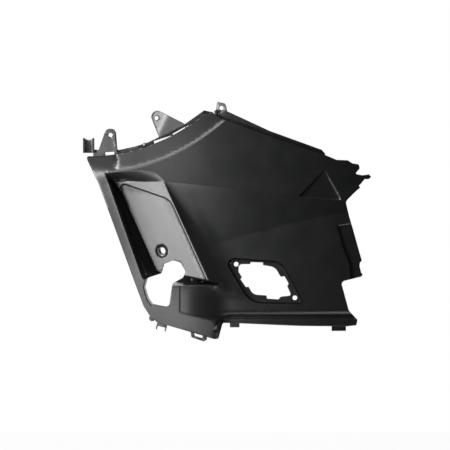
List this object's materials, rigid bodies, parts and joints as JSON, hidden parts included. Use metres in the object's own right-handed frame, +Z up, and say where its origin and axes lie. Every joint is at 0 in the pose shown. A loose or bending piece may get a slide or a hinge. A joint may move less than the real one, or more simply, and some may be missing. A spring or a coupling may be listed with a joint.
{
  "type": "scooter side panel",
  "caption": "Moulded outer side panel of a scooter, with a pocket behind a leaning crest, a lamp seat with its opening, a set-back top flange, screw ears and clips.",
  "frame": {"origin": "centre of the screw seat on the pocket floor, at the front end of its hole", "axes": "+X along the panel from its front edge to its rear edge, +Z up, +Y inward, so the outer face looks along -Y"},
  "size_m": [0.4051, 0.0598, 0.3345],
  "materials": {
    "black_plastic": "fine grained black moulded plastic with a satin sheen"
  },
  "bodies": {
    "root": {"side_panel": "black_plastic"}
  },
  "joints": []
}
